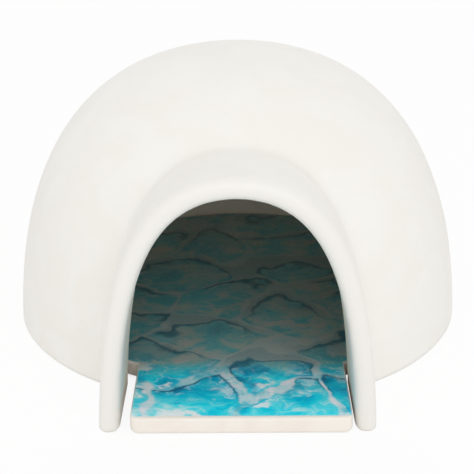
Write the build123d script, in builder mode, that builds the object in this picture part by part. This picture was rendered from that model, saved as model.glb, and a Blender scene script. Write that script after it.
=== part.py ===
from build123d import *
from math import atan2, cos, sin
import os

# Small-pet igloo, in millimetres, at its real size.
# Origin on the ground, on the dome's axis. +Z is up and the doorway faces -Y.

# Dome
dome_radius = 75.0
dome_height = 89.5
wall = 6.1
side_lean = 1.8              # how far the side has come in where its control point stands
side_share = 0.48            # that point's height, as a share of the dome's
crown_share = 0.77           # share of the radius over which the top stays nearly flat

# Entrance tunnel, measured outside
tunnel_reach = 90.5          # from the dome's axis to the rim
tunnel_half_width = 39.6     # at the ground
tunnel_height = 75.7         # at the rim
tunnel_root = 30.0           # where the tunnel's surfaces end, inside the dome
roof_drop = 6.8              # how much lower the roof is at the root than at the rim

# The arch is two mirrored curves. These shares of its width and height place their control points.
haunch_width = 0.95
haunch_height = 0.55
brow_width = 0.765

# Soft edges of the casting
rim_flat = 0.3               # what is left of the rim's face between its two roundings
crease_radius = 3.0
throat_radius = 2.0
foot_round = 0.6

# Floor plate
plate_thickness = 5.2
tongue_overhang = 1.0        # how far the tongue stands out past the rim
plate_clearance = 1.8
plate_shift_share = 0.6      # how far it has slid right within its play: 0 is centred, 1 touches
plate_corner = 2.5
neck_corner = 3.0
plate_bottom_round = 1.5
plate_top_round = 0.6

# Printed layer on the plate
print_thickness = 0.2
print_margin = 1.0

hair = 0.01                  # tolerance for finding edges by their place
overrun = 5.0                # how far the hollow runs on past the rim, so that it cuts clean

os.makedirs("parts", exist_ok=True)


def dome_solid(inset):
    """A solid of revolution under one smooth curve, steep at the foot and nearly flat at the top."""
    radius = dome_radius - inset
    height = dome_height - inset
    side = (radius - side_lean, side_share * height)
    shoulder = (crown_share * radius, height)
    with BuildPart() as dome:
        with BuildSketch(Plane.XZ):
            with BuildLine():
                Bezier((radius, 0), side, shoulder, (0, height))
                Polyline((0, height), (0, 0), (radius, 0))
            make_face()
        revolve(axis=Axis.Z)
    return dome.part


def arch_at(reach, inset):
    """The arch's half width at the ground, its lean there and its height, drawn in by the inset."""
    share = (tunnel_reach - reach) / (tunnel_reach - tunnel_root)
    height = tunnel_height - roof_drop * share
    lean = atan2((1 - haunch_width) * tunnel_half_width, haunch_height * height)
    return tunnel_half_width - inset / cos(lean), lean, height - inset


def arch_sketch(reach, inset):
    """The tunnel's outline on the plane at this reach."""
    half_width, _, height = arch_at(reach, inset)
    haunch = (haunch_width * half_width, haunch_height * height)
    brow = (brow_width * half_width, height)
    with BuildSketch(Plane.XZ.offset(reach)) as outline:
        with BuildLine():
            Bezier((half_width, 0), haunch, brow, (0, height))
            mirror(about=Plane.YZ)
            Line((-half_width, 0), (half_width, 0))
        make_face()
    return outline.sketch


def tunnel_solid(front, inset):
    """The tunnel as a solid, from the front plane back to its root inside the dome."""
    with BuildPart() as tunnel:
        add(arch_sketch(front, inset))
        add(arch_sketch(tunnel_root, inset))
        loft(ruled=True)
    return tunnel.part


def above_ground(edges):
    return edges.filter_by(lambda e: e.center().Z > hair)


# Outside of the casting: dome and tunnel, with a soft crease where they meet
with BuildPart() as outside:
    add(dome_solid(0))
    add(tunnel_solid(tunnel_reach, 0))
    fillet(above_ground(outside.edges(Select.NEW)), radius=crease_radius)

# The hollow: room under the dome and the passage through the tunnel, with a soft throat between them
with BuildPart() as hollow:
    add(dome_solid(wall))
    add(tunnel_solid(tunnel_reach + overrun, wall))
    fillet(above_ground(hollow.edges(Select.NEW)), radius=throat_radius)

with BuildPart() as dome_shell:
    add(outside.part)
    add(hollow.part, mode=Mode.SUBTRACT)
    rim = dome_shell.edges().filter_by_position(Axis.Y, -tunnel_reach - hair, -tunnel_reach + hair)
    fillet(above_ground(rim), radius=(wall - rim_flat) / 2)
    feet = dome_shell.edges().filter_by_position(Axis.Z, -hair, hair)
    fillet(feet, radius=foot_round)
dome_shell.part.label = "dome_shell"
export_step(dome_shell.part, "parts/dome_shell.step")

# The plate fills the hollow's floor but for its play, and its tongue runs out through the passage.
plate_shift = plate_shift_share * plate_clearance
disc_radius = dome_radius - wall - plate_clearance
tongue_reach = tunnel_reach + tongue_overhang
passage_half_width, passage_lean, _ = arch_at(tunnel_reach, wall)
tongue_half_width = passage_half_width - plate_thickness * sin(passage_lean) - plate_clearance


def plate_sketch(height, margin):
    """The plate's outline on this level, drawn in by the margin."""
    with BuildSketch(Plane.XY.offset(height)) as outline:
        with Locations((plate_shift, 0)):
            Circle(disc_radius - margin)
        with Locations((plate_shift, margin - tongue_reach)):
            Rectangle(
                2 * (tongue_half_width - margin),
                tongue_reach - margin,
                align=(Align.CENTER, Align.MIN),
            )
        corners = outline.vertices().sort_by(Axis.Y)
        fillet(corners[:2], radius=plate_corner - margin / 2)
        fillet(corners[2:4], radius=neck_corner + margin)
    return outline.sketch


with BuildPart() as floor_plate:
    add(plate_sketch(0, 0))
    extrude(amount=plate_thickness)
    fillet(floor_plate.faces().sort_by(Axis.Z)[0].edges(), radius=plate_bottom_round)
    fillet(floor_plate.faces().sort_by(Axis.Z)[-1].edges(), radius=plate_top_round)
floor_plate.part.label = "floor_plate"
export_step(floor_plate.part, "parts/floor_plate.step")

with BuildPart() as ice_print:
    add(plate_sketch(plate_thickness, print_margin))
    extrude(amount=print_thickness)
ice_print.part.label = "ice_print"
export_step(ice_print.part, "parts/ice_print.step")
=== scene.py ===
# %% [markdown]
# # A small-pet igloo in white ceramic
#
# The real object is a slip-cast ceramic dome with an arched entrance tunnel.
# It stands loose over a flat ceramic floor plate, and the top of the plate carries a print of
# ice blocks.
#
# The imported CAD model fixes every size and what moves: the dome lifts straight off the plate.
# Blender adds what CAD can't say: the softness of a casting, the glaze, the print and the light.

# %% Load the frame
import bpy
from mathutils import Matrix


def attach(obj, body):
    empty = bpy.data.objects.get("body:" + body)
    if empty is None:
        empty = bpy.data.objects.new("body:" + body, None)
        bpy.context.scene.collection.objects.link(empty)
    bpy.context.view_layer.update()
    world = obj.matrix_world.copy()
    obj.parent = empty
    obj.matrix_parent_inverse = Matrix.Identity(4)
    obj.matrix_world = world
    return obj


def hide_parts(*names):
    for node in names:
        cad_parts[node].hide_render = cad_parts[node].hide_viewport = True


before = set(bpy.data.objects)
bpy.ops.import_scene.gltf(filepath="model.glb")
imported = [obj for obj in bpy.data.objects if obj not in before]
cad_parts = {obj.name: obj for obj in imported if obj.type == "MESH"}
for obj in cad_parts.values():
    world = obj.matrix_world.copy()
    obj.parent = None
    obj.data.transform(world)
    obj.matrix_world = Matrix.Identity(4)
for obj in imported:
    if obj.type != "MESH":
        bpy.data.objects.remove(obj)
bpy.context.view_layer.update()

# %% [markdown]
# ## Units and small helpers
#
# Blender works in metres here, and a casting is easier to think about in millimetres.
# One constant turns one into the other.
#
# Each new piece is made in a bmesh and then becomes an object.
# A helper does that last step the same way for all of them, so that every piece rides on its CAD
# body,
# hides the CAD node it stands for, and shades smoothly.

# %% Units and the finishing helper
from math import atan2, cos, hypot, pi, radians, sin, sqrt, tan, tau

import bmesh
import bpy
from mathutils import Matrix, Vector, noise
from mathutils.geometry import interpolate_bezier

MM = 0.001


def into_object(bm, name):
    """Turns a finished bmesh into an object at the origin, with smooth shading."""
    mesh = bpy.data.meshes.new(name)
    bm.to_mesh(mesh)
    bm.free()
    mesh.shade_smooth()
    piece = bpy.data.objects.new(name, mesh)
    bpy.context.scene.collection.objects.link(piece)
    return piece


def stands_for(piece, body, node):
    """The piece moves with its body and is shown in place of its CAD node."""
    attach(piece, body)
    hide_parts(node)
    low, high = piece.data.vertices[0].co.copy(), piece.data.vertices[0].co.copy()
    for vertex in piece.data.vertices:
        low = Vector(map(min, low, vertex.co))
        high = Vector(map(max, high, vertex.co))
    size = [round(c / MM, 1) for c in high - low]
    print(piece.name, "size in mm", size, "faces", len(piece.data.polygons))


# %% [markdown]
# ## The camera
#
# The camera comes first.
# The picture was taken from just above the doorway, looking down by about 22 degrees.
# A lens, a distance and a slight roll were fitted to the dome's outline, the opening and the
# plate's corners.
# The matrix is built from three directions: right, up and back.

# %% Camera
image_size = 474
focal_pixels = 1150.0
camera_height_angle = radians(22.369)
camera_side_angle = radians(0.168)
camera_roll = radians(-0.376)
camera_distance = 399.645 * MM
camera_target = Vector((-0.086, 0, 22.56)) * MM

level = cos(camera_height_angle)
back = Vector((sin(camera_side_angle) * level, -cos(camera_side_angle) * level, sin(camera_height_angle)))
right = (-back).cross(Vector((0, 0, 1))).normalized()
up = right.cross(-back)
rolled_right = right * cos(camera_roll) + up * sin(camera_roll)
rolled_up = up * cos(camera_roll) - right * sin(camera_roll)
pose = Matrix((rolled_right, rolled_up, back)).transposed().to_4x4()
pose.translation = camera_target + back * camera_distance

lens = bpy.data.cameras.new("front_view")
lens.sensor_width = 36
lens.lens = focal_pixels * lens.sensor_width / image_size
lens.clip_start = 0.01
camera = bpy.data.objects.new("front_view", lens)
camera.matrix_world = pose
bpy.context.scene.collection.objects.link(camera)
bpy.context.scene.camera = camera
print("lens", round(lens.lens, 1), "mm, camera at", [round(c, 3) for c in pose.translation])

# %% [markdown]
# ## The dome
#
# On the real object, liquid clay is poured into a plaster mould.
# It stiffens against the plaster into a wall of even thickness, and the rest is poured out.
# So the dome is one thin shell, with the same curve inside and outside.
#
# One profile describes it: the outer curve up to the crown, and the inner curve back down to the
# foot.
# `bmesh.ops.spin` turns that profile once round the Z axis.
# A sphere would need pushing about to get this flat crown and these steep sides,
# and the profile has them at once. Its feet reach a little below the ground, so that they can be
# ground off later.

# %% Dome profile
dome_radius = 75.0
dome_height = 89.5
wall = 6.1
side_lean = 1.8
side_share = 0.48
crown_share = 0.77
foot_spare = 3.0
curve_steps = 64
turn_steps = 160


def dome_curve(inset):
    """Points up the dome's side from the ground to the crown, drawn in by the inset."""
    radius = dome_radius - inset
    height = dome_height - inset
    foot = Vector((radius, 0, 0))
    side = Vector((radius - side_lean, 0, side_share * height))
    shoulder = Vector((crown_share * radius, 0, height))
    crown = Vector((0, 0, height))
    return interpolate_bezier(foot, side, shoulder, crown, curve_steps)


def chain(bm, points, closed=False):
    """A row of vertices joined by edges."""
    vertices = [bm.verts.new(point * MM) for point in points]
    edges = [bm.edges.new(pair) for pair in zip(vertices, vertices[1:])]
    if closed:
        edges.append(bm.edges.new((vertices[-1], vertices[0])))
    return vertices, edges


def spin_shell(points, closed):
    """Turns a profile once round the Z axis and welds what meets on it."""
    bm = bmesh.new()
    vertices, edges = chain(bm, points, closed)
    bmesh.ops.spin(
        bm, geom=vertices + edges, cent=(0, 0, 0), axis=(0, 0, 1), angle=tau, steps=turn_steps, use_merge=True
    )
    bmesh.ops.remove_doubles(bm, verts=bm.verts, dist=0.01 * MM)
    bmesh.ops.dissolve_degenerate(bm, edges=bm.edges, dist=0.001 * MM)
    return bm


outer_curve = dome_curve(0)
inner_curve = dome_curve(wall)
outer_foot = Vector((dome_radius, 0, -foot_spare))
inner_foot = Vector((dome_radius - wall, 0, -foot_spare))
bm = spin_shell([outer_foot, *outer_curve, *inner_curve[::-1], inner_foot], closed=True)
loose = [edge for edge in bm.edges if not edge.link_faces]
bmesh.ops.delete(bm, geom=loose, context="EDGES")
bmesh.ops.recalc_face_normals(bm, faces=bm.faces)
print("dome shell faces", len(bm.faces), "open edges", sum(edge.is_boundary for edge in bm.edges))
dome = into_object(bm, "dome")

# %% [markdown]
# A second spin makes the room under the dome as a plug.
# It is never seen: it only cuts away what the tunnel would leave inside.

# %% Plug for the room
overrun = 5.0
bm = spin_shell([Vector((dome_radius - wall, 0, -overrun))] + inner_curve, closed=False)
bmesh.ops.holes_fill(bm, edges=[edge for edge in bm.edges if edge.is_boundary], sides=0)
bmesh.ops.recalc_face_normals(bm, faces=bm.faces)
room_plug = into_object(bm, "room_plug")

# %% [markdown]
# ## The entrance tunnel
#
# The tunnel is an arch, almost straight at its feet and round at the top. Its roof drops a
# little towards the dome.
# Half of the arch is one Bezier curve, and the other half is its mirror image.
#
# The wall is the band between an outer and an inner arch.
# The band is made as a face at the rim and again inside the dome, and `bridge_loops` joins the two.
# The rim is then beveled from both sides until it is nearly a half circle, as fettling leaves it
# on clay.

# %% Arch
tunnel_reach = 90.5
tunnel_half_width = 39.6
tunnel_height = 75.7
tunnel_root = 30.0
roof_drop = 6.8
haunch_width = 0.95
haunch_height = 0.55
brow_width = 0.765
arch_steps = 40


def arch_curve(reach, inset):
    """Points over the arch from the left foot to the right, on the plane at this reach."""
    share = (tunnel_reach - reach) / (tunnel_reach - tunnel_root)
    full_height = tunnel_height - roof_drop * share
    lean = atan2((1 - haunch_width) * tunnel_half_width, haunch_height * full_height)
    half_width = tunnel_half_width - inset / cos(lean)
    height = full_height - inset
    foot = Vector((half_width, -reach, 0))
    haunch = Vector((haunch_width * half_width, -reach, haunch_height * height))
    brow = Vector((brow_width * half_width, -reach, height))
    crown = Vector((0, -reach, height))
    half = interpolate_bezier(foot, haunch, brow, crown, arch_steps)
    mirrored = [Vector((-point.x, point.y, point.z)) for point in half]
    return mirrored[:-1] + half[::-1]


def with_spare_feet(arch):
    """The arch with one more point below each foot."""
    below = Vector((0, 0, -foot_spare))
    return [arch[0] + below, *arch, arch[-1] + below]


# %% Tunnel wall with its round rim
rim_flat = 0.3
rim_round = (wall - rim_flat) / 2

bm = bmesh.new()
band = {}
for reach in (tunnel_reach, tunnel_root):
    around = with_spare_feet(arch_curve(reach, 0)) + with_spare_feet(arch_curve(reach, wall))[::-1]
    vertices, edges = chain(bm, around, closed=True)
    band[reach] = edges
bmesh.ops.bridge_loops(bm, edges=band[tunnel_reach] + band[tunnel_root])
for edges in band.values():
    bmesh.ops.contextual_create(bm, geom=edges)
bmesh.ops.recalc_face_normals(bm, faces=bm.faces)
rim_edges = [
    edge
    for edge in bm.edges
    if all(abs(v.co.y + tunnel_reach * MM) < 0.01 * MM for v in edge.verts)
    and max(v.co.z for v in edge.verts) > (0.01 - foot_spare) * MM
]
bmesh.ops.bevel(
    bm, geom=rim_edges, offset=rim_round * MM, segments=10, profile=0.5, affect="EDGES", material=-1,
    clamp_overlap=True,
)
bmesh.ops.triangulate(bm, faces=[face for face in bm.faces if len(face.verts) > 4])
print("tunnel wall faces", len(bm.faces), "open edges", sum(edge.is_boundary for edge in bm.edges))
tunnel = into_object(bm, "tunnel")

# %% Plug for the passage
bm = bmesh.new()
ends = []
for reach in (tunnel_reach + overrun, 0.5 * tunnel_root):
    arch = arch_curve(reach, wall)
    below = [Vector((arch[-1].x, -reach, -overrun)), Vector((arch[0].x, -reach, -overrun))]
    ends.append(chain(bm, arch + below, closed=True)[1])
bmesh.ops.bridge_loops(bm, edges=ends[0] + ends[1])
for edges in ends:
    bmesh.ops.contextual_create(bm, geom=edges)
bmesh.ops.recalc_face_normals(bm, faces=bm.faces)
passage_plug = into_object(bm, "passage_plug")

# %% [markdown]
# ## One casting
#
# In the mould, dome and tunnel are one pour, with no seam and a soft crease where they meet.
# Three steps give that. First the plugs are cut out with Boolean modifiers:
# the doorway goes through the dome, and the tunnel stops at the room's wall.
# Then both parts are joined and a Remesh modifier in voxel mode welds them, as wet slip would.
# The voxel is about a millimetre: small enough for the rim, and coarse enough to keep the mesh
# light.

# %% Cut and weld
voxel = 1.15


def baked(piece):
    """The mesh that the piece's modifiers make."""
    scene_now = bpy.context.evaluated_depsgraph_get()
    return bpy.data.meshes.new_from_object(piece.evaluated_get(scene_now))


def cut_out(piece, plug):
    """Takes the plug's volume out of the piece."""
    cut = piece.modifiers.new("cut", "BOOLEAN")
    cut.operation = "DIFFERENCE"
    cut.solver = "EXACT"
    cut.object = plug
    mesh = baked(piece)
    piece.modifiers.clear()
    piece.data = mesh
    print(piece.name, "after", plug.name, "has", len(mesh.polygons), "faces")


cut_out(dome, passage_plug)
cut_out(tunnel, room_plug)

bm = bmesh.new()
bm.from_mesh(dome.data)
bm.from_mesh(tunnel.data)
casting = into_object(bm, "igloo_dome")
for used in (dome, tunnel, room_plug, passage_plug):
    bpy.data.objects.remove(used)

weld = casting.modifiers.new("weld", "REMESH")
weld.mode = "VOXEL"
weld.voxel_size = voxel * MM
weld.use_smooth_shade = True
mesh = baked(casting)
casting.modifiers.clear()
casting.data = mesh
print("welded casting has", len(mesh.polygons), "faces")

# %% [markdown]
# The weld leaves a sharp crease outside and a sharp throat inside.
# Edges whose two faces turn away from each other by more than 14 degrees mark both.
# The marks grow by a few rings of neighbours, and `smooth_vert` relaxes only that band, several
# times.
# The rest of the casting gets a few gentle passes, which take out the steps of the voxels.

# %% Soften the crease
bm = bmesh.new()
bm.from_mesh(casting.data)
bm.normal_update()


def grown(vertices, rings):
    """The vertices and their neighbours, so many rings out."""
    for _ in range(rings):
        vertices = vertices | {edge.other_vert(v) for v in vertices for edge in v.link_edges}
    return vertices


rim_zone = (-tunnel_reach + 7) * MM
foot_zone = 2.2 * MM
crease_angle = radians(14)
crease_rings = 2
crease_passes = 8
gentle_passes = 4


def relax(vertices, passes):
    """Smooths these vertices, so many times."""
    for _ in range(passes):
        bmesh.ops.smooth_vert(
            bm, verts=vertices, factor=0.5, use_axis_x=True, use_axis_y=True, use_axis_z=True
        )


bent = {
    v
    for edge in bm.edges
    if edge.is_manifold and edge.calc_face_angle() > crease_angle
    for v in edge.verts
    if v.co.y > rim_zone and v.co.z > foot_zone
}
crease = [v for v in grown(bent, crease_rings) if v.co.z > 0.5 * foot_zone and v.co.y > rim_zone]
relax(crease, crease_passes)
relax(bm.verts[:], gentle_passes)
print("crease band", len(crease), "of", len(bm.verts), "vertices")

# %% [markdown]
# A hand-finished casting is never quite regular.
# A slow noise moves each vertex along its normal by about a tenth of a millimetre, which only
# shows as light drifting over the wall.
#
# Last, the foot is ground flat, as the real one is so that it doesn't rock. `bisect_plane` cuts
# the spare feet off
# level with the ground, the lowest ring is drawn in a little to take the edge off, and the cut
# is filled.

# %% Unevenness and a flat foot
drift = 0.12
slow_scale = 28
lump_scale = 75
foot_round = 0.4
foot_snap = 0.25

bm.normal_update()
moves = {}
for v in bm.verts:
    slow = noise.noise(v.co * slow_scale) + 0.4 * noise.noise(v.co * lump_scale)
    moves[v] = v.normal * (drift * slow * MM)
for v, move in moves.items():
    v.co += move
    if abs(v.co.z) < foot_snap * MM:
        v.co.z = 0
geometry = bm.verts[:] + bm.edges[:] + bm.faces[:]
bmesh.ops.bisect_plane(
    bm, geom=geometry, dist=0.001 * MM, plane_co=(0, 0, 0), plane_no=(0, 0, -1), clear_outer=True
)
bm.normal_update()
for v in bm.verts:
    rise = foot_round - v.co.z / MM
    if rise > 0:
        drawn_in = foot_round - sqrt(foot_round**2 - min(rise, foot_round) ** 2)
        v.co -= Vector((v.normal.x, v.normal.y, 0)) * (drawn_in * MM)
foot_edges = [edge for edge in bm.edges if edge.is_boundary]
bmesh.ops.holes_fill(bm, edges=foot_edges, sides=0)
bmesh.ops.triangulate(bm, faces=[face for face in bm.faces if len(face.verts) > 4])
bm.normal_update()
lowest = min(face.normal.z for face in bm.faces if all(v.co.z == 0 for v in face.verts))
print("foot ground flat,", len(foot_edges), "edges round it, lowest normal", round(lowest, 2))
print("open edges left", sum(not edge.is_manifold for edge in bm.edges))

# %% [markdown]
# The room's inside is painted a warm tan, unlike the outside: painted shade, for the warm shade
# deep in the room. It starts a little way into the tunnel.
# Each vertex keeps how much of that tint it gets in an attribute of its own, and the material reads it later.
# A vertex is inside when it lies within the middle of the wall: the dome's curve or the arch,
# drawn in by half the wall.

# %% Mark the room's painted shade
# The room's painted shade, a warm tan, fades in between these two depths in front of the middle.
room_shade_starts = 84.0
room_shade_ends = 70.0


def width_at(points, height):
    """How far out the curve is at this height, both in mm."""
    best = min(points, key=lambda point: abs(point.z - height))
    return abs(best.x) if height < max(point.z for point in points) else 0.0


middle_dome = dome_curve(wall / 2)
middle_arch = arch_curve(75.0, wall / 2)
# The attribute holds how much painted shade, a warm tan, each vertex inside gets.
room_shade = bm.verts.layers.float.new("room_shade_tint")
for v in bm.verts:
    x, y, z = v.co / MM
    in_room = hypot(x, y) < width_at(middle_dome, z)
    in_passage = -tunnel_reach + 1 < y < 0 and abs(x) < width_at(middle_arch, z)
    reached = min(1.0, max(0.0, (y + room_shade_starts) / (room_shade_starts - room_shade_ends)))
    v[room_shade] = reached if in_room or in_passage else 0.0
print("bare inside:", sum(v[room_shade] > 0.5 for v in bm.verts), "vertices")
casting_mesh = casting.data
bm.to_mesh(casting_mesh)
bm.free()
casting_mesh.shade_smooth()
stands_for(casting, "dome", "dome_shell")

# %% [markdown]
# ## The floor plate
#
# The plate is a disc with a tongue, cut from rolled clay, and it has slid a little to the right
# within its play.
# Its outline starts as a circle. Two cuts with `bisect_plane` mark where the tongue begins,
# the arc between them is deleted, and the two open ends are extruded to the front and joined.
# Vertex bevels round the four corners of the outline, and edge bevels round the slab afterwards.

# %% Plate outline
plate_thickness = 5.2
tongue_overhang = 1.0
plate_clearance = 1.8
plate_shift = 0.6 * plate_clearance
plate_corner = 2.5
neck_corner = 3.0
disc_radius = dome_radius - wall - plate_clearance
tongue_reach = tunnel_reach + tongue_overhang
foot_lean = atan2((1 - haunch_width) * tunnel_half_width, haunch_height * tunnel_height)
passage_half_width = tunnel_half_width - wall / cos(foot_lean) - plate_thickness * sin(foot_lean)
tongue_half_width = passage_half_width - plate_clearance
disc_steps = 120


def plate_outline(height, margin):
    """A bmesh with one face: the plate's outline on this level, drawn in by the margin."""
    radius = disc_radius - margin
    half_width = tongue_half_width - margin
    front = margin - tongue_reach
    bm = bmesh.new()
    place = Matrix.Translation(Vector((plate_shift, 0, height)) * MM)
    bmesh.ops.create_circle(bm, cap_ends=False, radius=radius * MM, segments=disc_steps, matrix=place)
    sides = [(plate_shift + side * half_width) * MM for side in (-1, 1)]
    for x in sides:
        geometry = bm.verts[:] + bm.edges[:]
        bmesh.ops.bisect_plane(bm, geom=geometry, dist=0.001 * MM, plane_co=(x, 0, 0), plane_no=(1, 0, 0))
    edge_room = 0.01 * MM
    arc = [v for v in bm.verts if v.co.y < 0 and sides[0] + edge_room < v.co.x < sides[1] - edge_room]
    bmesh.ops.delete(bm, geom=arc, context="VERTS")
    open_ends = [v for v in bm.verts if len(v.link_edges) == 1]
    pulled = bmesh.ops.extrude_vert_indiv(bm, verts=open_ends)["verts"]
    for v in pulled:
        v.co.y = front * MM
    bm.edges.new(pulled)
    bmesh.ops.contextual_create(bm, geom=bm.edges[:])
    corners = [(pulled, plate_corner - margin / 2)]
    bend = pi / 2 - atan2(half_width, sqrt(radius**2 - half_width**2))
    corners.append((open_ends, (neck_corner + margin) * tan(bend / 2)))
    for vertices, offset in corners:
        bmesh.ops.bevel(
            bm, geom=vertices, offset=offset * MM, segments=6, profile=0.5, affect="VERTICES", material=-1,
            clamp_overlap=True,
        )
    return bm


# %% Plate slab
plate_bottom_round = 1.5
plate_top_round = 0.6
sharp_corner = radians(40)


def slab(bm, thickness):
    """Gives the outline its thickness, upwards."""
    grown_up = bmesh.ops.extrude_face_region(bm, geom=bm.faces[:])["geom"]
    raised = [part for part in grown_up if isinstance(part, bmesh.types.BMVert)]
    bmesh.ops.translate(bm, verts=raised, vec=(0, 0, thickness * MM))
    bmesh.ops.recalc_face_normals(bm, faces=bm.faces)


def round_level(bm, level, radius, segments):
    """Rounds the sharp edge that runs round the slab on this level."""
    edges = [
        edge
        for edge in bm.edges
        if all(abs(v.co.z - level * MM) < 0.01 * MM for v in edge.verts)
        and edge.calc_face_angle() > sharp_corner
    ]
    bmesh.ops.bevel(
        bm, geom=edges, offset=radius * MM, segments=segments, profile=0.5, affect="EDGES", material=-1,
        clamp_overlap=False,
    )


bm = plate_outline(0, 0)
slab(bm, plate_thickness)
round_level(bm, 0, plate_bottom_round, 6)
round_level(bm, plate_thickness, plate_top_round, 4)
plate = into_object(bm, "floor_plate_piece")
stands_for(plate, "plate", "floor_plate")

# %% [markdown]
# ## The printed layer
#
# The print is a transfer film under a clear glaze, about two tenths of a millimetre thick.
# It covers only the top of the plate and stops just where the edge begins to round.
# The same outline makes it, drawn in by that margin, so print and plate always agree.

# %% Printed film
print_margin = 0.3
print_thickness = 0.2

bm = plate_outline(plate_thickness, print_margin)
slab(bm, print_thickness)
round_level(bm, plate_thickness + print_thickness, 0.12, 2)
film = into_object(bm, "ice_film")
stands_for(film, "plate", "ice_print")

# %% [markdown]
# Smooth shading would smear the light over the slab's large flat faces.
# `set_sharp_from_angle` keeps them flat: edges that turn by more than 30 degrees stay crisp.
# The bevels turn by less at each step, so they still look round.

# %% Flat faces stay flat
for piece in (plate, film):
    piece.data.set_sharp_from_angle(angle=radians(30))

# %% [markdown]
# ## A shorthand for shader nodes
#
# A material is a net of nodes. These few functions add one node each and wire it.
# They take either a number or the output of another node, so that a net reads like a formula.

# %% Node shorthand


def feed(tree, socket, value):
    """Links an output to the socket, or sets the socket's own value."""
    if isinstance(value, bpy.types.NodeSocket):
        tree.links.new(value, socket)
    else:
        socket.default_value = value


def calc(tree, operation, first, second=0.0, third=None):
    """One Math node."""
    node = tree.nodes.new("ShaderNodeMath")
    node.operation = operation
    feed(tree, node.inputs[0], first)
    feed(tree, node.inputs[1], second)
    if third is not None:
        feed(tree, node.inputs[2], third)
    return node.outputs[0]


def soft_step(tree, value, low, high, start=0.0, end=1.0):
    """Rises smoothly from start to end while the value goes from low to high."""
    node = tree.nodes.new("ShaderNodeMapRange")
    node.interpolation_type = "SMOOTHSTEP"
    for place, number in enumerate((value, low, high, start, end)):
        feed(tree, node.inputs[place], number)
    return node.outputs[0]


def blend(tree, share, first, second, mode="MIX"):
    """Mixes two colours."""
    node = tree.nodes.new("ShaderNodeMix")
    node.data_type = "RGBA"
    node.blend_type = mode
    feed(tree, node.inputs[0], share)
    feed(tree, node.inputs[6], first)
    feed(tree, node.inputs[7], second)
    return node.outputs[2]


def cloud(tree, place, scale, detail=2.0, roughness=0.5, distortion=0.0):
    """A Noise texture; gives its value and its colour."""
    node = tree.nodes.new("ShaderNodeTexNoise")
    feed(tree, node.inputs["Vector"], place)
    feed(tree, node.inputs["Scale"], scale)
    feed(tree, node.inputs["Detail"], detail)
    feed(tree, node.inputs["Roughness"], roughness)
    feed(tree, node.inputs["Distortion"], distortion)
    return node.outputs[0], node.outputs[1]


def shift(tree, place, offset, amount):
    """Moves a position by a colour's distance from mid grey, times the amount."""
    centred = tree.nodes.new("ShaderNodeVectorMath")
    centred.operation = "SUBTRACT"
    feed(tree, centred.inputs[0], offset)
    centred.inputs[1].default_value = (0.5, 0.5, 0.5)
    scaled = tree.nodes.new("ShaderNodeVectorMath")
    scaled.operation = "SCALE"
    feed(tree, scaled.inputs[0], centred.outputs[0])
    scaled.inputs["Scale"].default_value = amount
    moved = tree.nodes.new("ShaderNodeVectorMath")
    moved.operation = "ADD"
    feed(tree, moved.inputs[0], place)
    feed(tree, moved.inputs[1], scaled.outputs[0])
    return moved.outputs[0]


def stretch(tree, place, scale, turn=0.0, move=(0, 0, 0)):
    """A Mapping node: moves, turns and scales a pattern."""
    node = tree.nodes.new("ShaderNodeMapping")
    feed(tree, node.inputs["Vector"], place)
    node.inputs["Location"].default_value = move
    node.inputs["Rotation"].default_value = (0, 0, turn)
    node.inputs["Scale"].default_value = scale
    return node.outputs[0]


def split(tree, place):
    """The x, y and z of a position."""
    node = tree.nodes.new("ShaderNodeSeparateXYZ")
    feed(tree, node.inputs[0], place)
    return node.outputs[0], node.outputs[1], node.outputs[2]


def group(name, inputs, outputs):
    """A node group with named inputs and outputs, ready to be filled."""
    tree = bpy.data.node_groups.new(name, "ShaderNodeTree")
    for label, kind, value in inputs:
        socket = tree.interface.new_socket(label, in_out="INPUT", socket_type=kind)
        if value is not None:
            socket.default_value = value
    for label, kind in outputs:
        tree.interface.new_socket(label, in_out="OUTPUT", socket_type=kind)
    return tree, tree.nodes.new("NodeGroupInput"), tree.nodes.new("NodeGroupOutput")


# %% [markdown]
# ## What the glaze does
#
# The white is not one white. The glaze is a little thicker in some places and lets the clay show
# in others,
# and its surface has the faint ripple of brushed and sprayed glaze. That is one effect, and the
# dome and the plate both have it.
# So it is one node group: the mottle is a mask between two whites, the grain is a mask for
# roughness, and the ripple is a height.

# %% Node group for the glaze
glaze, given, result = group(
    "glaze",
    [("Position", "NodeSocketVector", None), ("Patch Size", "NodeSocketFloat", 1.0)],
    [("Mottle", "NodeSocketFloat"), ("Grain", "NodeSocketFloat"), ("Ripple", "NodeSocketFloat")],
)
place = given.outputs["Position"]
patch = calc(glaze, "DIVIDE", 45.0, given.outputs["Patch Size"])
broad, _ = cloud(glaze, place, patch, detail=4.0, roughness=0.5, distortion=1.2)
rings = stretch(glaze, place, (9.0, 9.0, 110.0))
banding, _ = cloud(glaze, rings, 1.0, detail=3.0, roughness=0.6)
banded = calc(glaze, "MULTIPLY_ADD", banding, 0.22, -0.11)
mottle = calc(glaze, "ADD", banded, broad)
feed(glaze, result.inputs["Mottle"], soft_step(glaze, mottle, 0.36, 0.66))
fine, _ = cloud(glaze, place, 900.0, detail=3.0, roughness=0.6)
feed(glaze, result.inputs["Grain"], fine)
wave, _ = cloud(glaze, place, 120.0, detail=3.0, roughness=0.5)
rippled = calc(glaze, "ADD", calc(glaze, "MULTIPLY", wave, 0.8), calc(glaze, "MULTIPLY", fine, 0.2))
feed(glaze, result.inputs["Ripple"], rippled)
print("glaze group has", len(glaze.nodes), "nodes")

# %% [markdown]
# ## White ceramic
#
# Satin glazed earthenware: a warm white, soft highlights, no mirror.
# The foot is wiped clean of glaze before firing, or it would stick to the kiln shelf,
# so the ring it stands on is bare clay: rougher, and warmer. The inside gets the same warm tan and roughness;
# the tan there is painted shade, for the warm shade deep in the room.
# The round rim's front gets a slightly darker white: painted shade, which tones down the light falling on it.

# %% Material for the dome


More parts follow.
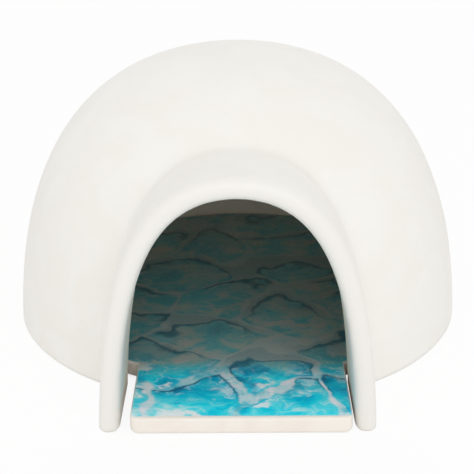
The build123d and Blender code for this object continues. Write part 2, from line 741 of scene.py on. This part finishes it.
def new_material(name):
    """A material with a Principled BSDF, and the piece's own position in it."""
    material = bpy.data.materials.new(name)
    material.use_nodes = True
    tree = material.node_tree
    shader = tree.nodes["Principled BSDF"]
    place = tree.nodes.new("ShaderNodeTexCoord").outputs["Object"]
    return material, tree, shader, place


def add_glaze(tree, place, patch_size):
    """Places the glaze group with its own patch size."""
    node = tree.nodes.new("ShaderNodeGroup")
    node.node_tree = glaze
    feed(tree, node.inputs["Position"], place)
    node.inputs["Patch Size"].default_value = patch_size
    return node.outputs["Mottle"], node.outputs["Grain"], node.outputs["Ripple"]


def add_bump(tree, shader, height, depth, strength):
    """Lets a height bend the light, by so many millimetres."""
    bump = tree.nodes.new("ShaderNodeBump")
    bump.inputs["Strength"].default_value = strength
    bump.inputs["Distance"].default_value = depth * MM
    feed(tree, bump.inputs["Height"], height)
    feed(tree, shader.inputs["Normal"], bump.outputs[0])


def bare_foot(tree, place, grain, height):
    """A mask that is 1 on the lowest strip, with a slightly ragged upper edge."""
    _, _, z = split(tree, place)
    ragged = calc(tree, "MULTIPLY", calc(tree, "SUBTRACT", grain, 0.5), 0.3 * MM)
    return soft_step(tree, calc(tree, "ADD", z, ragged), 0.6 * height * MM, height * MM, 1.0, 0.0)


white_thick = (0.890, 0.877, 0.840, 1)
white_thin = (0.874, 0.856, 0.812, 1)
# A slightly darker white for the rim's front: painted shade.
rim_painted_shade = (0.853, 0.836, 0.797, 1)
# Bare clay: real on the foot ring, and painted shade on the room's inside.
foot_clay_and_inside_shade = (0.93, 0.85, 0.735, 1)
rim_reach = 90.5
rim_depth = 4.5
foot_strip = 0.25

material, tree, shader, place = new_material("white_ceramic")
mottle, grain, ripple = add_glaze(tree, place, 1.0)
foot = bare_foot(tree, place, grain, foot_strip)
# The inside takes the clay's warm tan too: painted shade for the room's interior.
inside = tree.nodes.new("ShaderNodeAttribute")
inside.attribute_name = "room_shade_tint"
speckle = calc(tree, "MULTIPLY", calc(tree, "SUBTRACT", grain, 0.5), 0.5)
speckled = calc(tree, "ADD", inside.outputs["Fac"], speckle)
foot = calc(tree, "MAXIMUM", foot, soft_step(tree, speckled, 0.3, 0.7))
colour = blend(tree, mottle, white_thin, white_thick)
_, y, _ = split(tree, place)
# Painted shade: the rim's front takes the darker white.
on_rim = soft_step(tree, y, -rim_reach * MM, (rim_depth - rim_reach) * MM, 1.0, 0.0)
colour = blend(tree, on_rim, colour, rim_painted_shade)
feed(tree, shader.inputs["Base Color"], blend(tree, foot, colour, foot_clay_and_inside_shade))
glossy = soft_step(tree, grain, 0.3, 0.7, 0.42, 0.52)
feed(tree, shader.inputs["Roughness"], calc(tree, "MAXIMUM", glossy, calc(tree, "MULTIPLY", foot, 0.8)))
add_bump(tree, shader, ripple, 0.12, 0.35)
casting.data.materials.clear()
casting.data.materials.append(material)
print(material.name, "has", len(tree.nodes), "nodes")

# %% [markdown]
# ## The plate's own white
#
# The plate is glazed too, but its edge is warmer than the dome: more clay shows through where
# the glaze ran thin over the rounding.

# %% Material for the plate
plate_white = (0.920, 0.868, 0.807, 1)
plate_thin = (0.900, 0.838, 0.767, 1)

material, tree, shader, place = new_material("plate_ceramic")
mottle, grain, ripple = add_glaze(tree, place, 0.6)
foot = bare_foot(tree, place, grain, foot_strip)
colour = blend(tree, mottle, plate_thin, plate_white)
feed(tree, shader.inputs["Base Color"], blend(tree, foot, colour, foot_clay_and_inside_shade))
glossy = soft_step(tree, grain, 0.3, 0.7, 0.38, 0.5)
feed(tree, shader.inputs["Roughness"], calc(tree, "MAXIMUM", glossy, calc(tree, "MULTIPLY", foot, 0.8)))
add_bump(tree, shader, ripple, 0.1, 0.3)
plate.data.materials.append(material)
print(material.name, "has", len(tree.nodes), "nodes")

# %% [markdown]
# ## The ice print
#
# The print shows rounded blocks of blue ice, laid in rough courses, as if painted with a wet brush.
# Nothing is drawn by hand here: it is a layout of its own that has the colours and the scale of
# such a print.
#
# A Voronoi texture, stretched sideways and bent by noise, lays out the blocks.
# Its distance to the edge gives the joints, and its distance to the centre rounds the corners off,
# which leaves the small pale triangles between blocks. Each cell's random colour makes each
# block a little different.
#
# The group puts out a colour and three masks, and the material decides what to do with them.

# %% Node group for the blocks
blocks, given, result = group(
    "ice_blocks",
    [("Position", "NodeSocketVector", None)],
    [
        ("Block", "NodeSocketFloat"),
        ("Rim", "NodeSocketFloat"),
        ("Shade", "NodeSocketFloat"),
        ("Random", "NodeSocketColor"),
    ],
)
place = given.outputs["Position"]
_, slow_bend = cloud(blocks, place, 38.0, detail=1.0)
_, lump_bend = cloud(blocks, place, 120.0, detail=1.0)
_, quick_bend = cloud(blocks, place, 420.0, detail=2.0, roughness=0.6)
bent_place = shift(blocks, place, slow_bend, 0.024)
bent_place = shift(blocks, bent_place, lump_bend, 0.007)
bent_place = shift(blocks, bent_place, quick_bend, 0.0016)
courses = stretch(blocks, bent_place, (1 / 0.031, 1 / 0.025, 0.0), move=(0.85, 0.95, 0))


def cells(tree, place, feature, jitter):
    """A flat Voronoi texture."""
    node = tree.nodes.new("ShaderNodeTexVoronoi")
    node.voronoi_dimensions = "2D"
    node.feature = feature
    feed(tree, node.inputs["Vector"], place)
    node.inputs["Scale"].default_value = 1.0
    node.inputs["Randomness"].default_value = jitter
    return node


jitter = 0.9
borders = cells(blocks, courses, "DISTANCE_TO_EDGE", jitter)
centres = cells(blocks, courses, "F1", jitter)
spacing, _ = cloud(blocks, place, 55.0, detail=2.0, roughness=0.5)
joint_width = soft_step(blocks, spacing, 0.36, 0.62, 0.008, 0.075)
inside = calc(blocks, "SUBTRACT", borders.outputs["Distance"], joint_width)
_, size_pick, _ = split(blocks, centres.outputs["Color"])
block_reach = soft_step(blocks, size_pick, 0.0, 0.8, 0.56, 0.90)
round_off = calc(blocks, "SUBTRACT", block_reach, centres.outputs["Distance"])
depth = calc(blocks, "SMOOTH_MIN", inside, round_off, 0.09)
_, cell_y, _ = split(blocks, centres.outputs["Position"])
_, here_y, _ = split(blocks, courses)
above = calc(blocks, "SUBTRACT", here_y, cell_y)
melt = soft_step(blocks, above, -0.40, 0.05, 0.05, 0.02)
feed(blocks, result.inputs["Block"], soft_step(blocks, depth, -0.014, melt))
brush, _ = cloud(blocks, place, 150.0, detail=2.0)
brush_width = soft_step(blocks, brush, 0.36, 0.64, 0.040, 0.17)
feed(blocks, result.inputs["Rim"], soft_step(blocks, depth, 0.02, brush_width, 1.0, 0.0))
feed(blocks, result.inputs["Shade"], soft_step(blocks, above, -0.28, 0.42))
feed(blocks, result.inputs["Random"], centres.outputs["Color"])
print("ice block group has", len(blocks.nodes), "nodes")

# %% [markdown]
# ## Frost and cracks
#
# Over the blue lie two white layers: soft smears of frost, and fine veins where the ice has
# cracked.
# The smears are stretched noise, and the wash that the inks follow mixes broad patches with
# brush strokes. The veins are the borders of a much finer Voronoi texture, kept only where a
# noise allows it.

# %% Node group for frost
frost, given, result = group(
    "frost",
    [("Position", "NodeSocketVector", None)],
    [("Smear", "NodeSocketFloat"), ("Vein", "NodeSocketFloat"), ("Wash", "NodeSocketFloat")],
)
place = given.outputs["Position"]
_, warp = cloud(frost, place, 150.0, detail=2.0)
streaked = stretch(frost, shift(frost, place, warp, 0.010), (60.0, 95.0, 0.0), turn=radians(24))
smear, _ = cloud(frost, streaked, 1.0, detail=6.0, roughness=0.66)
feed(frost, result.inputs["Smear"], soft_step(frost, smear, 0.49, 0.59))
_, shake = cloud(frost, place, 420.0, detail=2.0)
cracked = stretch(frost, shift(frost, place, shake, 0.0035), (1 / 0.0075, 1 / 0.0055, 0.0), turn=radians(-18))
veins = cells(frost, cracked, "DISTANCE_TO_EDGE", 1.0)
thin = soft_step(frost, veins.outputs["Distance"], 0.0, 0.06, 1.0, 0.0)
where, _ = cloud(frost, place, 95.0, detail=2.0)
feed(frost, result.inputs["Vein"], calc(frost, "MULTIPLY", thin, soft_step(frost, where, 0.48, 0.62)))
broad, _ = cloud(frost, place, 58.0, detail=3.0, roughness=0.52, distortion=1.6)
strokes = stretch(frost, shift(frost, place, warp, 0.014), (60.0, 260.0, 0.0), turn=radians(7))
stroke, _ = cloud(frost, strokes, 1.0, detail=5.0, roughness=0.68)
both = calc(frost, "ADD", calc(frost, "MULTIPLY", broad, 0.55), calc(frost, "MULTIPLY", stroke, 0.45))
feed(frost, result.inputs["Wash"], soft_step(frost, both, 0.2, 0.8, 0.13, 0.87))
print("frost group has", len(frost.nodes), "nodes")

# %% [markdown]
# ## Colouring the print
#
# The layers go on as a printer's inks would: turquoise and blue washes for the body of each block,
# a deep teal towards its top, a dark brush line along its upper edge, frost in its lower half,
# veins on it,
# and a pale lavender between the blocks. Near the edge of the film the ink fades out into the
# plate's white.

# %% Material for the print


def wash_ramp(tree, value, stops):
    """A ColorRamp with these stops."""
    node = tree.nodes.new("ShaderNodeValToRGB")
    ramp = node.color_ramp
    while len(ramp.elements) < len(stops):
        ramp.elements.new(0.5)
    for element, (position, colour) in zip(ramp.elements, stops):
        element.position = position
        element.color = (*colour, 1)
    feed(tree, node.inputs[0], value)
    return node.outputs[0]


material, tree, shader, place = new_material("ice_print")
block_node = tree.nodes.new("ShaderNodeGroup")
block_node.node_tree = blocks
feed(tree, block_node.inputs[0], place)
frost_node = tree.nodes.new("ShaderNodeGroup")
frost_node.node_tree = frost
feed(tree, frost_node.inputs[0], place)
block, rim, shade, random_colour = block_node.outputs
smear, vein, wash = frost_node.outputs
tint_a, tint_b, _ = split(tree, random_colour)

light_share = calc(tree, "MULTIPLY", calc(tree, "SUBTRACT", 0.5, shade), 0.12)
tone = calc(tree, "ADD", wash, calc(tree, "MULTIPLY", calc(tree, "SUBTRACT", tint_a, 0.5), 0.20))
body = wash_ramp(
    tree,
    calc(tree, "ADD", tone, light_share),
    [
        (0.22, (0.001, 0.340, 0.580)),
        (0.36, (0.002, 0.570, 0.840)),
        (0.48, (0.010, 0.760, 0.950)),
        (0.61, (0.120, 0.850, 0.970)),
        (0.73, (0.500, 0.920, 0.975)),
    ],
)
deep_teal = (0.001, 0.340, 0.560, 1)
dark_line = (0.001, 0.140, 0.290, 1)
frost_white = (0.90, 0.96, 0.98, 1)
upper = calc(tree, "MULTIPLY", shade, soft_step(tree, tint_b, 0.1, 0.9, 0.05, 0.50))
inked = blend(tree, upper, body, deep_teal)
top_edge = calc(tree, "MULTIPLY", rim, soft_step(tree, shade, 0.45, 0.90, 0.10, 1.0))
edge_ink = soft_step(tree, wash, 0.38, 0.66, 0.95, 0.50)
inked = blend(tree, calc(tree, "MULTIPLY", top_edge, edge_ink), inked, dark_line)
middle = calc(tree, "SUBTRACT", 1.0, calc(tree, "MAXIMUM", rim, calc(tree, "MULTIPLY", shade, 0.6)))
inked = blend(tree, calc(tree, "MULTIPLY", smear, calc(tree, "MULTIPLY", middle, 0.95)), inked, frost_white)
inked = blend(tree, calc(tree, "MULTIPLY", vein, 0.4), inked, frost_white)
joints = wash_ramp(
    tree, wash, [(0.34, (0.10, 0.60, 0.74)), (0.46, (0.50, 0.78, 0.86)), (0.62, (0.84, 0.87, 0.94))]
)
inked = blend(tree, block, joints, inked)
print(material.name, "layers are stacked")

# %% [markdown]
# The ink is brightest on the tongue, at the doorway. Further in it looks quieter
# and greyer,
# and most of that is shade from the lamps. The rest is painted shade in the ink: the same layers, darker and
# with grey and earth in them,
# and with the brush lines drawn over them once more, from about where the tunnel roof's shadow begins.

# %% Painted shade on the ink inside
# Painted shade: darker, greyer inks for the print further inside the dome.
inside_shade_tint = (0.60, 0.50, 0.46, 1)
inside_shade_teal = (0.18, 0.44, 0.47, 1)
inside_shade_earth = (0.38, 0.44, 0.41, 1)
shaded_line = (0.006, 0.115, 0.175, 1)
inside_shade_joint = (0.38, 0.48, 0.475, 1)

x, y, _ = split(tree, place)
shaded_ink = blend(tree, 1.0, inked, inside_shade_tint, mode="MULTIPLY")
muted = blend(tree, soft_step(tree, wash, 0.40, 0.64), inside_shade_teal, inside_shade_earth)
shaded_ink = blend(tree, 0.55, shaded_ink, muted)
shaded_ink = blend(tree, calc(tree, "MULTIPLY", top_edge, 0.7), shaded_ink, shaded_line)
shaded_ink = blend(tree, calc(tree, "MULTIPLY", calc(tree, "SUBTRACT", 1.0, block), 0.6), shaded_ink, inside_shade_joint)
# The painted shade fades in between these depths, about where the tunnel roof's shadow begins.
painted_shade_starts = -66.0
painted_shade_ends = -51.0
ragged = calc(tree, "ADD", y, calc(tree, "MULTIPLY", wash, 8 * MM))
inked = blend(tree, soft_step(tree, ragged, painted_shade_starts * MM, painted_shade_ends * MM), inked, shaded_ink)
print("ink is quieter from about y =", painted_shade_starts - 4, "to", painted_shade_ends - 4, "mm")

# %% [markdown]
# The fade needs the distance to the film's edge. The film is a disc and a tongue, so that
# distance is a short sum:
# how far inside the circle, or how far inside the tongue's three sides, whichever is more.
# At the very front the ink stops a little earlier, where the edge is sanded.

# %% Fade at the edge of the print
front_pale = 0.9
across = calc(tree, "ABSOLUTE", calc(tree, "SUBTRACT", x, plate_shift * MM))
from_side = calc(tree, "SUBTRACT", (tongue_half_width - print_margin) * MM, across)
from_front = calc(tree, "ADD", y, (tongue_reach - print_margin - front_pale) * MM)
from_tongue = calc(tree, "MINIMUM", from_side, from_front)
span = calc(tree, "SQRT", calc(tree, "ADD", calc(tree, "POWER", across, 2.0), calc(tree, "POWER", y, 2.0)))
from_circle = calc(tree, "SUBTRACT", (disc_radius - print_margin) * MM, span)
from_edge = calc(tree, "MAXIMUM", from_tongue, from_circle)
worn = calc(tree, "MULTIPLY", calc(tree, "SUBTRACT", wash, 0.5), 0.8 * MM)
ink = soft_step(tree, calc(tree, "ADD", from_edge, worn), -0.3 * MM, 0.4 * MM)
feed(tree, shader.inputs["Base Color"], blend(tree, ink, plate_white, inked))

_, grain, _ = add_glaze(tree, place, 1.0)
shader.inputs["Specular IOR Level"].default_value = 0.3
feed(tree, shader.inputs["Roughness"], soft_step(tree, grain, 0.3, 0.7, 0.27, 0.33))
add_bump(tree, shader, wash, 0.05, 0.2)
film.data.materials.append(material)
print(material.name, "has", len(tree.nodes), "nodes")

# %% [markdown]
# ## Floor and backdrop
#
# The photograph is a cut-out on white. A pale floor carries the object, bounces light up under
# its sides
# and keeps a faint shadow round its feet. To the camera the floor is mostly a plain white,
# mixed with a little of the real floor, so that the picture is white and the shadow is still there.
# Other rays see the real floor only, and so no extra light falls on the object.
# Under the dome the camera sees the real floor too, or the gap round the plate would shine.

# %% Floor
floor_size = 3.0
floor_shown = 0.1

bm = bmesh.new()
bmesh.ops.create_grid(bm, x_segments=1, y_segments=1, size=floor_size)
floor = into_object(bm, "floor")
floor.location.z = -0.02 * MM

material = bpy.data.materials.new("pale_floor")
material.use_nodes = True
tree = material.node_tree
tree.nodes.clear()
board = tree.nodes.new("ShaderNodeBsdfDiffuse")
board.inputs["Color"].default_value = (0.93, 0.93, 0.93, 1)
paper = tree.nodes.new("ShaderNodeEmission")
paper.inputs["Color"].default_value = (1, 1, 1, 1)
rays = tree.nodes.new("ShaderNodeLightPath")
seen = calc(tree, "MAXIMUM", rays.outputs["Is Camera Ray"], rays.outputs["Is Transmission Ray"])
place = tree.nodes.new("ShaderNodeTexCoord").outputs["Object"]
x, y, _ = split(tree, place)
span = calc(tree, "SQRT", calc(tree, "ADD", calc(tree, "POWER", x, 2.0), calc(tree, "POWER", y, 2.0)))
outside = soft_step(tree, span, (dome_radius - wall) * MM, dome_radius * MM)
outside = calc(tree, "MAXIMUM", outside, soft_step(tree, y, -60 * MM, -48 * MM, 1.0, 0.0))
seen = calc(tree, "MULTIPLY", seen, calc(tree, "MULTIPLY", outside, 1 - floor_shown))
mixed = tree.nodes.new("ShaderNodeMixShader")
feed(tree, mixed.inputs[0], seen)
feed(tree, mixed.inputs[1], board.outputs[0])
feed(tree, mixed.inputs[2], paper.outputs[0])
output = tree.nodes.new("ShaderNodeOutputMaterial")
feed(tree, output.inputs["Surface"], mixed.outputs[0])
floor.data.materials.append(material)
print("floor is", 2 * floor_size, "m wide")

# %% [markdown]
# ## Light
#
# The real picture was lit by a white tent: light from everywhere, and a little more from the front.
# The world is the tent, and two large area lamps are the extra: one above the doorway, and a
# weak one on the left.
# Together they light the outside to about 1, so that a colour shows as it is written.

# %% World and lamps
tent_light = 0.855
front_light = 3.4
left_light = 0.25

world = bpy.data.worlds.new("tent")
bpy.context.scene.world = world
world.use_nodes = True
tree = world.node_tree
lit = tree.nodes["Background"]
lit.inputs["Color"].default_value = (1.0, 0.995, 0.985, 1)
lit.inputs["Strength"].default_value = tent_light
paper = tree.nodes.new("ShaderNodeBackground")
paper.inputs["Color"].default_value = (1, 1, 1, 1)
paper.inputs["Strength"].default_value = 1.0
rays = tree.nodes.new("ShaderNodeLightPath")
mixed = tree.nodes.new("ShaderNodeMixShader")
seen = calc(tree, "MAXIMUM", rays.outputs["Is Camera Ray"], rays.outputs["Is Transmission Ray"])
feed(tree, mixed.inputs[0], calc(tree, "MAXIMUM", seen, rays.outputs["Is Glossy Ray"]))
feed(tree, mixed.inputs[1], lit.outputs[0])
feed(tree, mixed.inputs[2], paper.outputs[0])
feed(tree, tree.nodes["World Output"].inputs["Surface"], mixed.outputs[0])


def soft_box(name, position, size, power):
    """A square area lamp that faces the middle of the igloo."""
    lamp = bpy.data.lights.new(name, "AREA")
    lamp.size = size
    lamp.energy = power
    holder = bpy.data.objects.new(name, lamp)
    holder.location = position
    aim = Vector((0, 0, 0.04)) - holder.location
    holder.rotation_euler = aim.to_track_quat("-Z", "Y").to_euler()
    bpy.context.scene.collection.objects.link(holder)


box_size = 0.9
soft_box("front_box", Vector((0.19, -1.08, 0.78)), box_size, front_light)
soft_box("left_box", Vector((-1.20, -0.35, 0.50)), box_size, left_light)
print("tent", tent_light, "lamps", front_light, left_light, "W")

# %% [markdown]
# ## Show it plainly
#
# The Standard view transform shows a colour as it was written, with no film look on top.

bpy.context.scene.view_settings.view_transform = "Standard"
